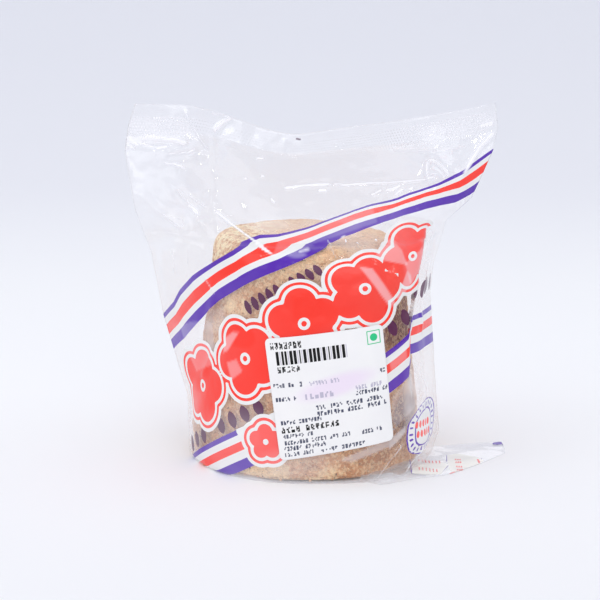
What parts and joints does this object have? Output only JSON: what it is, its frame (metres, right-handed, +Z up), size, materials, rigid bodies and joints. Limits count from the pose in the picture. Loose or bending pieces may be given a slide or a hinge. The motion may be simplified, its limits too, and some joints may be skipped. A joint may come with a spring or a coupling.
{
  "type": "jaggery lump in a clear bag",
  "caption": "Blunt cone of pressed cane jaggery in a clear heat-sealed film bag with slanting printed stripes and a square paper label on the front.",
  "frame": {"origin": "the middle of the bounding box's bottom, on the surface that the pack stands on; the lump's own axis is 5 mm to -X of it", "axes": "+Z up along the lump's axis, -Y the front with the label, +X to the right of that front, along the sealed edge"},
  "size_m": [0.1666, 0.1034, 0.153],
  "materials": {
    "film": "clear glossy polypropylene film over tan jaggery, printed with stripes",
    "label_paper": "matt white thermal paper",
    "jaggery": "dull, finely grained cane sugar with paler crust"
  },
  "bodies": {
    "root": {"bag": "film", "label": "label_paper"}
  },
  "joints": []
}
